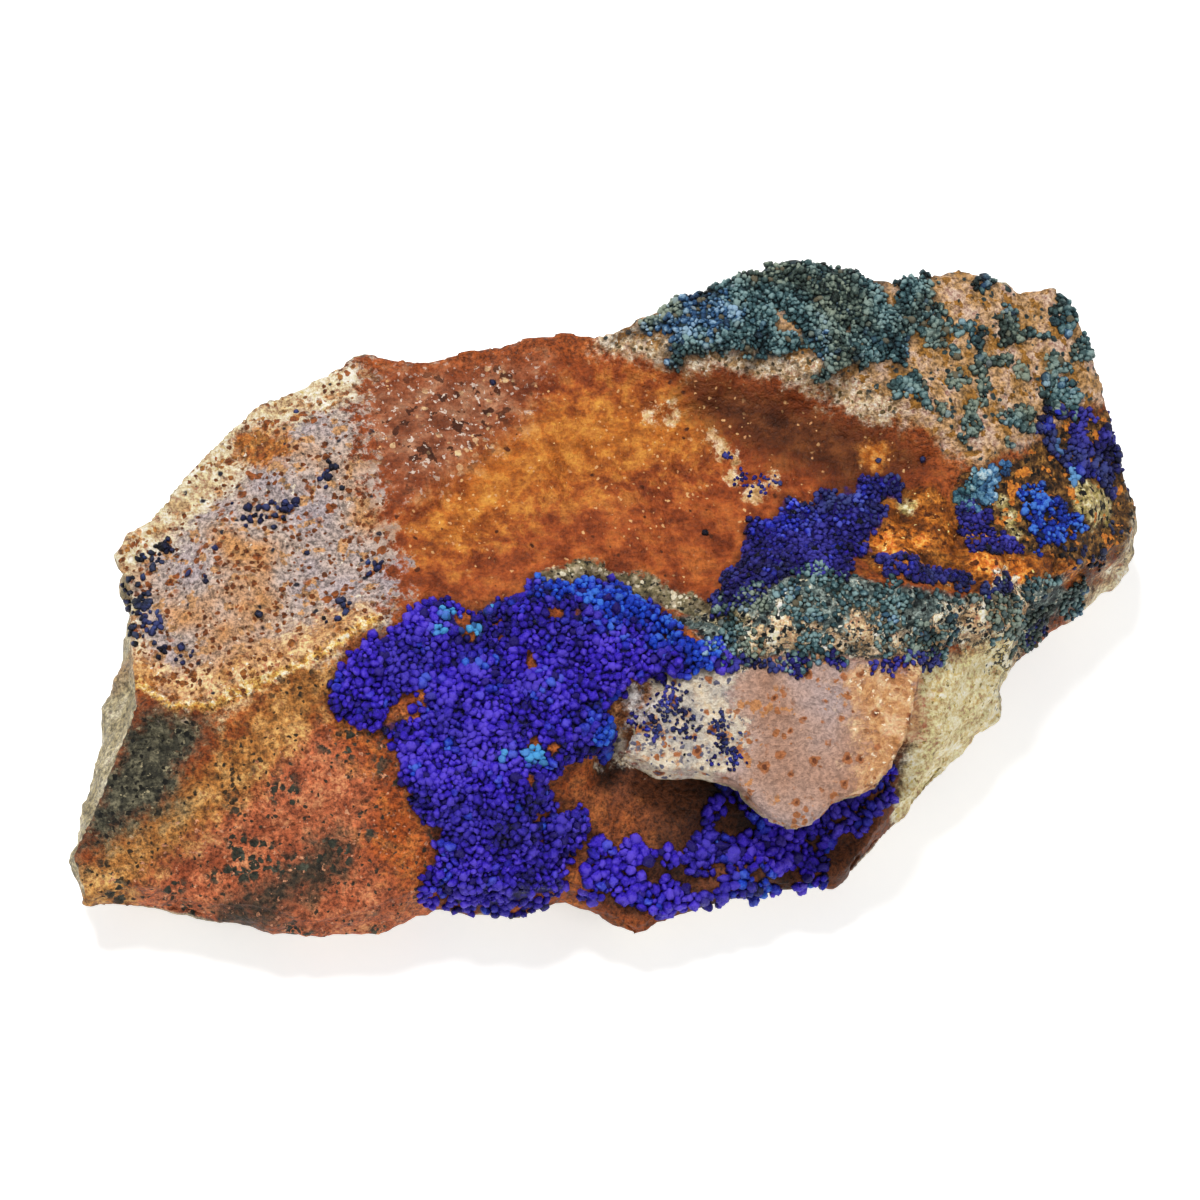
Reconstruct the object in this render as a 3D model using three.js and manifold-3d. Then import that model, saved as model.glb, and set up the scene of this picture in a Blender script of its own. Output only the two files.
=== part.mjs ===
// Azurite specimen: a hand-sized slab of iron-stained chert that carries crusts of azurite beads
// and of blue-green druse on its upper side.
// Units are millimetres, +Z is up, +X runs along the slab, and the origin is at the middle of the
// flat underside.
import * as THREE from "three";
import { mergeVertices } from "three/addons/utils/BufferGeometryUtils.js";
import Module from "manifold-3d";

const wasm = await Module();
wasm.setup();

// Driving dimensions
const GRID_STEP = 3.25; // spacing of the surveyed points that the upper surface is sampled on
const SURVEY_LENGTH = 130; // the sampled rectangle, a little larger than the slab
const SURVEY_DEPTH = 78;
const SKY = 40; // a level above the whole specimen
const SPOT_SOFTNESS = 3.5; // how far a spot height spreads before its neighbours take over
const GRAIN = 0.5; // height of the broken surface's own unevenness
const GAP = 0.3; // space between the rock and a crust that grew on it
const SEED = 20;

// The slab's plan at its widest level, anticlockwise from the front left corner.
const OUTLINE = [
  [-59.6, -31.8], [-55.7, -31.2], [-51, -32.4], [-43.7, -33.8], [-35.7, -35.6], [-28.3, -35.3],
  [-21.7, -32.7], [-12.7, -33.6], [-8, -31.9], [-3.8, -34.1], [-0.4, -35.6], [4.7, -33.5],
  [11, -31.8], [18, -30.6], [23, -30], [26.5, -26.8], [31.5, -21.6], [37.8, -15.4],
  [42.5, -10.8], [43, -8.2], [45.3, -4.5], [50.2, -0.7], [55.6, 3.5], [59.6, 6.5],
  [60.9, 11.2], [58.7, 16.9], [56.7, 22.4], [54.7, 27], [52.3, 31.5], [49.6, 34.7],
  [44.7, 33.6], [38, 35.6], [31.4, 33.6], [27.6, 33.9], [18.5, 35.4], [13.1, 33.6],
  [9.3, 32.2], [3, 30.5], [-0.9, 28.7], [-5.8, 29.3], [-15.6, 28.3], [-21.1, 26.9],
  [-27.1, 28], [-32.9, 26], [-40, 22.4], [-45.7, 16.7], [-51.5, 10.4], [-54.6, 8.6],
  [-56, 6], [-54.9, 2.2], [-55.4, -3.8], [-56.7, -12.1], [-58.3, -18.6], [-59.8, -24.1],
  [-60.9, -27.2],
];

// The broken sides, from the flat underside up: how far each level lies inside the outline at the
// front and at the back, and how ragged it is. The front leans back and the back overhangs. The
// sides draw in towards the middle line of the slab.
const SIDE_LEVELS = [
  { z: 0, front: 7, back: 9, ragged: 4 },
  { z: 2.5, front: 2.4, back: 5.5, ragged: 2.4 },
  { z: 6, front: 0, back: 2.4, ragged: 0 },
  { z: 12, front: 1.6, back: 0.4, ragged: 0.9 },
  { z: 19, front: 3.6, back: 0, ragged: 0 },
  { z: SKY, front: 9, back: 0, ragged: 0 },
];
const MIDDLE_LINE = new THREE.Line3(
  new THREE.Vector3(-38, -12, 0),
  new THREE.Vector3(38, 12, 0),
);

// Spot heights of the upper surface, [x, y, height], grouped by the form that they belong to.
const SPOT_HEIGHTS = {
  paleLeftPlane: [
    [-54, 5, 13], [-55, -7, 14.5], [-46, 15, 14], [-38, 9, 17], [-41, -1, 18], [-31, 15, 18.5],
    [-34, 24, 15.5], [-27, 26, 17],
  ],
  rustyFrontSlope: [
    [-56, -19, 13], [-60, -28, 8.5], [-48, -24, 14.5], [-47, -32, 8.5], [-37, -19, 17.5],
    [-37, -29, 13], [-35, -35, 8], [-26, -29, 13.5], [-23, -33, 9],
  ],
  smoothHollow: [
    [-23, 10, 20], [-17, 25, 18], [-6, 27, 19], [-11, 10, 19.6], [-1, 16, 19], [-3, 3, 20.6],
    [9, 13, 18.6], [8, 4, 20], [20, 18, 18.8], [27, 14, 19.6],
  ],
  backRim: [
    [1, 28, 21.5], [10, 29, 24], [19, 32, 25], [22, 25, 24.6], [31, 29, 25], [32, 21, 24],
    [41, 31, 24], [39, 18, 23], [48, 31, 22], [51, 24, 21], [55, 22, 18],
  ],
  rightEnd: [
    [34, 8, 20.5], [44, 8, 20], [50, 13, 19], [58, 15, 15], [59, 9, 13], [49, 4, 18.5], [54, 3, 14],
  ],
  middleRidge: [
    [7, -4, 22.5], [14, -4, 24.6], [22, -4, 26], [30, -5, 25.6], [39, -4, 23], [48, -2, 16.5],
    [9, -9, 22], [20, -9, 23], [30, -9, 22.4], [42, -6, 17], [20, 6, 20.4], [27, 9, 20.3],
  ],
  paleRightSlope: [[33, -13, 18.5], [41, -10, 11], [36, -16, 11], [31, -21, 9]],
  druseSlope: [
    [-20, -5, 21.5], [-10, -3, 23], [1, -6, 22.5], [-26, -11, 20.6], [-15, -14, 21], [-7, -16, 20],
    [-23, -22, 17.5], [-14, -24, 16.5], [-19, -31, 11.5], [-10, -31, 10.5],
  ],
  pocketUnderLedge: [
    [-3, -21, 13], [1, -25, 12.4], [8, -19, 12], [17, -18, 11.6], [24, -19, 11], [2, -30, 10.6],
    [11, -28, 10.4], [21, -27, 8.5], [19, -30, 7], [-1, -34, 7], [9, -32, 7],
  ],
};

// Sharp lines where two broken faces meet, raised above the spot heights with a straight fall.
const CRESTS = [
  { line: [[-53, -12], [-43, -11], [-37, -9.5], [-30, -5]], rise: 1.8, reach: 6 },
  { line: [[1, 27], [12, 26], [22, 22.5], [31, 18.5], [36, 15.5]], rise: 1.4, reach: 5 },
  { line: [[10, -3], [22, -3.5], [38, -4]], rise: 1.2, reach: 5 },
];

// The pale ledge: a flat flake of chert that juts out of the ridge over the pocket.
const LEDGE = {
  outline: [
    [3, -7], [26, -7], [30, -10], [29, -14], [27.5, -19], [25, -23], [20, -24.3], [16, -27.2],
    [13, -26.8], [9, -22.8], [5.5, -21.6], [1, -21.8], [-3.2, -19.6], [-1.2, -16], [1.6, -12.5],
  ],
  backEdge: -11, // y where its top meets the ridge
  backHeight: 22.3,
  slope: 0.29, // rise of the top per millimetre towards the ridge
  backThickness: 4.6,
  taper: 0.15, // loss of thickness per millimetre away from the ridge
};

// What grew on the rock. A crust is a thin sheet that follows the rock, with beads standing on it.
const CRUSTS = [
  {
    name: "azurite_druse_main",
    colour: "#2d1fb4",
    sheet: 0.9,
    beadRadius: 1.75,
    beadSpacing: 3.2,
    outline: [
      [-31.8, -8.3], [-28.4, -5.5], [-23.1, -3.9], [-12.7, -2.6], [-11.3, -0.5], [-6.7, 0.1],
      [1.3, -2.2], [6.6, -6.8], [6.4, -8.8], [0.6, -11], [-4, -13.7], [-5.8, -19.3], [-9.7, -22.1],
      [-8.3, -24.4], [-5.4, -25.6], [-8.4, -30.9], [-16.9, -32.2], [-24.4, -30.7], [-23.1, -28.3],
      [-23.7, -25.9], [-27.9, -21], [-26.8, -18.9], [-32.7, -14.3],
    ],
  },
  {
    name: "azurite_druse_lower",
    colour: "#2b1ea8",
    sheet: 0.7,
    beadRadius: 1.6,
    beadSpacing: 3.2,
    outline: [
      [-6.5, -29.6], [-5, -27.8], [0.2, -27.4], [4.3, -28.5], [6.3, -24.6], [9, -20.5], [15.7, -21.2],
      [24.5, -20.4], [26.4, -22.5], [25, -25.2], [21.3, -28.7], [16.2, -29.4], [10.6, -30.4],
      [2.2, -32.4], [-0.8, -32.4], [-5, -31.8],
    ],
  },
  {
    name: "azurite_patch_upper",
    colour: "#1f1c84",
    sheet: 0.7,
    beadRadius: 1.5,
    beadSpacing: 3,
    outline: [
      [4, -2.2], [9.4, -0.8], [12.5, 2.7], [14.4, 6.4], [17.2, 8.8], [23.6, 9.7], [25.4, 11.6],
      [30.5, 12.5], [30.3, 10.4], [27.3, 8.2], [27.5, 5.4], [24.1, 4.2], [23.2, 0.9], [17.8, 0.7],
      [14.4, -0.6], [9, -2.4],
    ],
  },
  {
    name: "azurite_patch_end",
    colour: "#20309c",
    sheet: 0.7,
    beadRadius: 1.5,
    beadSpacing: 3,
    outline: [
      [36.4, 11.6], [40.1, 12.5], [44.2, 12], [47.2, 15.4], [49, 19], [52, 18.9], [55.4, 17.8],
      [55.6, 15], [53.5, 11.8], [49.9, 10.1], [51.2, 6.9], [48, 4.2], [43.7, 3.5], [40.6, 0.9],
      [37.9, 2.5], [36.1, 5.9],
    ],
  },
  {
    name: "bluegreen_druse_back",
    colour: "#2f4a50",
    sheet: 0.8,
    beadRadius: 1.45,
    beadSpacing: 3.2,
    outline: [
      [2, 27.6], [9.1, 30.6], [13.6, 32.2], [18.5, 33.4], [27.3, 32.3], [31.4, 31.8], [33, 29.8],
      [44, 29.4], [51, 28.4], [51.4, 25.8], [44, 26], [39.5, 25.4], [41, 20], [41.3, 15], [38, 14.6],
      [36.5, 19.5], [31, 23], [24.9, 23.1], [19.5, 24], [12.7, 25], [6.2, 26],
    ],
  },
  {
    name: "bluegreen_druse_ridge",
    colour: "#47525a",
    sheet: 0.8,
    beadRadius: 1.35,
    beadSpacing: 3.1,
    outline: [
      [7.6, -4.6], [11.9, -3.6], [15.9, -1.7], [19.7, -0.6], [24, -1.8], [30.3, -3], [36.8, -2.8],
      [42.7, -0.9], [47, -0.8], [47.4, -2], [44.4, -4], [40.7, -5.6], [35.2, -7.2], [30.8, -8.4],
      [24.5, -6.9], [16.9, -7], [10.3, -8.4], [8, -7],
    ],
  },
];

// A repeatable stream of numbers from 0 to 1.
function randomStream(seed) {
  let state = seed;
  return () => {
    state = (state * 1664525 + 1013904223) >>> 0;
    return state / 2 ** 32;
  };
}

// A repeatable number from -1 to 1 for each place.
function scatter(x, y, z) {
  const wave = Math.sin(x * 12.9898 + y * 78.233 + z * 37.719) * 43758.5453;
  return 2 * (wave - Math.floor(wave)) - 1;
}

function distanceToLine(x, y, line) {
  const point = new THREE.Vector3(x, y, 0);
  const nearest = new THREE.Vector3();
  let least = Infinity;
  for (let i = 1; i < line.length; i++) {
    const piece = new THREE.Line3(
      new THREE.Vector3(...line[i - 1], 0),
      new THREE.Vector3(...line[i], 0),
    );
    piece.closestPointToPoint(point, true, nearest);
    least = Math.min(least, nearest.distanceTo(point));
  }
  return least;
}

// Height of the rock's upper surface: spot heights weighted by nearness, plus the sharp crests.
function rockHeight(x, y) {
  let weighted = 0;
  let total = 0;
  for (const [sx, sy, height] of Object.values(SPOT_HEIGHTS).flat()) {
    const weight = ((x - sx) ** 2 + (y - sy) ** 2 + SPOT_SOFTNESS ** 2) ** -2;
    weighted += weight * height;
    total += weight;
  }
  let height = weighted / total;
  for (const { line, rise, reach } of CRESTS) {
    height += rise * Math.max(0, 1 - distanceToLine(x, y, line) / reach);
  }
  return height;
}

function ledgeTop(y) {
  return LEDGE.backHeight + LEDGE.slope * (y - LEDGE.backEdge);
}

function ledgeUnderside(y) {
  return ledgeTop(y) - LEDGE.backThickness - LEDGE.taper * (y - LEDGE.backEdge);
}

// A closed three.js geometry as a solid that can be joined and cut.
function solidOf(geometry) {
  const bare = geometry.index ? geometry.toNonIndexed() : geometry.clone();
  bare.deleteAttribute("normal");
  bare.deleteAttribute("uv");
  const merged = mergeVertices(bare, 1e-4);
  return new wasm.Manifold(
    new wasm.Mesh({
      numProp: 3,
      vertProperties: new Float32Array(merged.attributes.position.array),
      triVerts: new Uint32Array(merged.index.array),
    }),
  );
}

function geometryOf(solid) {
  const { vertProperties, triVerts } = solid.getMesh();
  const geometry = new THREE.BufferGeometry();
  geometry.setAttribute("position", new THREE.BufferAttribute(new Float32Array(vertProperties), 3));
  geometry.setIndex(new THREE.BufferAttribute(new Uint32Array(triVerts), 1));
  return geometry;
}

// Moves every vertex of a geometry to where place(x, y, z) says.
function reshape(geometry, place) {
  const position = geometry.attributes.position;
  for (let i = 0; i < position.count; i++) {
    position.setXYZ(i, ...place(position.getX(i), position.getY(i), position.getZ(i)));
  }
  return geometry;
}

// An upright prism over a plan outline, in levels of one unit from z = 0.
function prism(outline, levels) {
  const shape = new THREE.Shape(outline.map(([x, y]) => new THREE.Vector2(x, y)));
  return new THREE.ExtrudeGeometry(shape, { depth: levels, steps: levels, bevelEnabled: false });
}

// Everything below the upper surface raised by lift, over the whole surveyed rectangle.
function ground(lift) {
  const columns = Math.round(SURVEY_LENGTH / GRID_STEP);
  const rows = Math.round(SURVEY_DEPTH / GRID_STEP);
  const block = new THREE.BoxGeometry(SURVEY_LENGTH, SURVEY_DEPTH, 2, columns, rows, 1);
  const surveyed = reshape(block, (x, y, z) =>
    z > 0 ? [x, y, rockHeight(x, y) + GRAIN * scatter(x, y, 0) + lift] : [x, y, -SKY],
  );
  return solidOf(surveyed);
}

// The slab's ragged sides, with a flat underside and no upper surface yet.
function sides() {
  const nearest = new THREE.Vector3();
  const wall = reshape(prism(OUTLINE, SIDE_LEVELS.length - 1), (x, y, z) => {
    const { z: level, front, back, ragged } = SIDE_LEVELS[Math.round(z)];
    const rim = new THREE.Vector3(x, y, 0);
    const inward = MIDDLE_LINE.closestPointToPoint(rim, true, nearest).sub(rim).normalize();
    const inset = THREE.MathUtils.lerp(front, back, Math.max(0, -inward.y));
    rim.addScaledVector(inward, inset + (ragged * (1 + scatter(x, y, level))) / 2);
    return [rim.x, rim.y, level];
  });
  return solidOf(wall);
}

// The ledge, grown by spare on its upper and lower faces.
function ledge(spare) {
  const flake = reshape(prism(LEDGE.outline, 1), (x, y, z) => [
    x,
    y,
    z > 0 ? ledgeTop(y) + spare : ledgeUnderside(y) - spare,
  ]);
  return solidOf(flake);
}

// Places inside an outline, no two nearer than spacing, by throwing darts.
function dartPlaces(outline, spacing, random) {
  const polygon = outline.map(([x, y]) => new THREE.Vector2(x, y));
  const box = new THREE.Box2().setFromPoints(polygon);
  const size = box.getSize(new THREE.Vector2());
  const places = [];
  const darts = Math.round((size.x * size.y * 12) / spacing ** 2);
  for (let i = 0; i < darts; i++) {
    const x = box.min.x + random() * size.x;
    const y = box.min.y + random() * size.y;
    const clear = places.every(([px, py]) => Math.hypot(x - px, y - py) >= spacing);
    const margin = distanceToLine(x, y, [...outline, outline[0]]);
    if (clear && margin > spacing / 5 && insideOutline(x, y, outline)) {
      places.push([x, y]);
    }
  }
  return places;
}

function insideOutline(x, y, outline) {
  let inside = false;
  outline.forEach(([ax, ay], i) => {
    const [bx, by] = outline[(i + 1) % outline.length];
    if (ay > y !== by > y && x < ax + ((y - ay) / (by - ay)) * (bx - ax)) {
      inside = !inside;
    }
  });
  return inside;
}

// One bead: a faceted ball, sunk into the crust's sheet and turned at random.
function bead(x, y, crust, random) {
  const radius = crust.beadRadius * (0.8 + 0.4 * random());
  const ball = new THREE.IcosahedronGeometry(radius, 0);
  ball.applyMatrix4(
    new THREE.Matrix4().makeRotationFromEuler(
      new THREE.Euler(random() * Math.PI, random() * Math.PI, random() * Math.PI),
    ),
  );
  return solidOf(ball.translate(x, y, rockHeight(x, y) + GAP + crust.sheet - radius / 5));
}

// A crust: its sheet follows the rock, its beads are fused to the sheet, and the rock with its
// gap is cut away from both.
function crustSolid(crust, index, slabSides, rockAndGap) {
  const random = randomStream(SEED + index);
  const column = reshape(prism(crust.outline, 1), (x, y, z) => [x, y, z * SKY]);
  const sheet = ground(GAP + crust.sheet).intersect(solidOf(column)).intersect(slabSides);
  const beads = dartPlaces(crust.outline, crust.beadSpacing, random).map(([x, y]) =>
    bead(x, y, crust, random),
  );
  const pieces = wasm.Manifold.union([sheet, ...beads]).subtract(rockAndGap).decompose();
  return pieces.reduce((largest, piece) => (piece.volume() > largest.volume() ? piece : largest));
}

function part(name, solid, colour, roughness) {
  const material = new THREE.MeshStandardMaterial({ color: colour, roughness, metalness: 0 });
  const mesh = new THREE.Mesh(geometryOf(solid), material);
  mesh.name = name;
  return mesh;
}

const slabSides = sides();
const rockAndGap = ground(GAP).add(ledge(GAP));
const specimen = new THREE.Group();
specimen.add(part("matrix_rock", slabSides.intersect(ground(0)).add(ledge(0)), "#9c5a2e", 0.75));
CRUSTS.forEach((crust, index) => {
  specimen.add(part(crust.name, crustSolid(crust, index, slabSides, rockAndGap), crust.colour, 0.45));
});

export default specimen;
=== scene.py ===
# Looks of the azurite specimen: a slab of iron-stained chert with crusts of azurite beads and of
# blue-green druse. Lengths are metres, as in the frame, unless a name says mm or px.
import math

import bmesh
import bpy
import numpy as np
from mathutils import Matrix, Quaternion, Vector, noise
from mathutils.bvhtree import BVHTree


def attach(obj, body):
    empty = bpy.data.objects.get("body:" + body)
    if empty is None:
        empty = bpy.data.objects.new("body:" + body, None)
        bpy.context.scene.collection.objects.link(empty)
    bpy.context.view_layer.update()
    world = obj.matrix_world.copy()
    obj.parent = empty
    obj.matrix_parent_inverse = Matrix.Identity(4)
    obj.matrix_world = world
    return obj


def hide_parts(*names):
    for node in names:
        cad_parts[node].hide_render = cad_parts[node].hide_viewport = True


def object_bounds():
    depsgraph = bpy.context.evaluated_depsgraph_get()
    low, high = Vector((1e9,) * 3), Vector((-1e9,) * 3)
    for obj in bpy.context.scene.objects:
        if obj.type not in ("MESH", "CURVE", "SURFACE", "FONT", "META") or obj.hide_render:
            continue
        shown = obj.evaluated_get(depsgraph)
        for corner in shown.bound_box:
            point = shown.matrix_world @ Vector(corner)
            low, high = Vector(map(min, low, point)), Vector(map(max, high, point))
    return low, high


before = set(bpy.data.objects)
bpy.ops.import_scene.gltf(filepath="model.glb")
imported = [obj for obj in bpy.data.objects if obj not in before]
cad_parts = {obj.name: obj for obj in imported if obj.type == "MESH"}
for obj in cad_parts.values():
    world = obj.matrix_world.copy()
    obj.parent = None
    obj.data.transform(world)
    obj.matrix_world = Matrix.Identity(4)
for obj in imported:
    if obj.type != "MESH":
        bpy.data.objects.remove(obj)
CAD_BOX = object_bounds()

MM = 0.001
BODY = "root"
SEED = 7

# The photograph's camera, in the 1200 px frame. Outlines below are read in its pixels and cast
# onto the rock, so that each lands on what it belongs to.
PHOTO_FOCAL_PX = 1848.0
PHOTO_CENTRE_PX = 600.0
PHOTO_DISTANCE = 0.520  # from the lens to the table, along the axis
PHOTO_TILT = math.radians(70)  # of the axis, below the horizon
PART_ON_TABLE = Vector((0.10187, 0.01237, 0.0))  # from where the axis meets the table
OUTSIDE_LEVEL = 12 * MM  # pixels beside the rock are read at this height

# The rock's surface
VOXEL = 0.5 * MM
EASINGS = 3
EASING = 0.5  # share of the way that a vertex moves to its neighbours' mean, each time
LEDGE_FLOOR = 14.8 * MM  # the ledge lies above this level, the pocket under it below
STEEP = (0.62, 0.38)  # upward share of the normal where a broken side begins, and where it is whole
UNDERNEATH = (-0.5, -0.8)  # the same for the underside
UPPER = (0.1, 0.4)  # and for the upper side, where crusts and lumps rise
RELIEF_MM = [(1.7, 0.14), (6.0, 0.28)]  # sizes and heights of the rock's unevenness
RIDGE_HEIGHT_MM = 0.9  # of the ridges on the broken sides
RIDGE_DROP_MM = 0.4  # by which these sides are lowered, to make up for them
CRUST_RISE_MM = 0.7  # of the ground that a closed crust grew on
CRUST_SHOULDER_MM = 1.5  # over which the ground rises
CRUST_FOOT_MM = 0.2  # outside the crust, where the rise begins
SCOOP_SIZE_MM = 8.0  # of the hollows that flaked off the broken sides
SCOOP_DEPTH_MM = 1.3

# Rounded lumps on the upper side: the zone or the kind of closed crust, their size and height in mm.
LUMPS = [
    ("azurite", 2.6, 0.6), ("bluegreen_druse", 2.0, 0.5), ("crest", 3.0, 1.3), ("crest", 1.3, 0.6),
    ("orange_knobs", 4.4, 1.7), ("orange_knobs", 1.7, 0.6), ("olive_fringe", 1.3, 0.5),
]


def colour_zone(name, tones, mottle, wander, soft, **place):
    """A zone of colour on the rock. Tones go from dark to light; wander is how far the edge strays and
    soft is half the width of its fade, in mm. An outline is closed, a line has a width in mm, and spots
    are round, as (u, v, radius)."""
    look = {"name": name, "tones": tones, "mottle": mottle, "wander": wander, "soft": soft}
    return look | place


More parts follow.
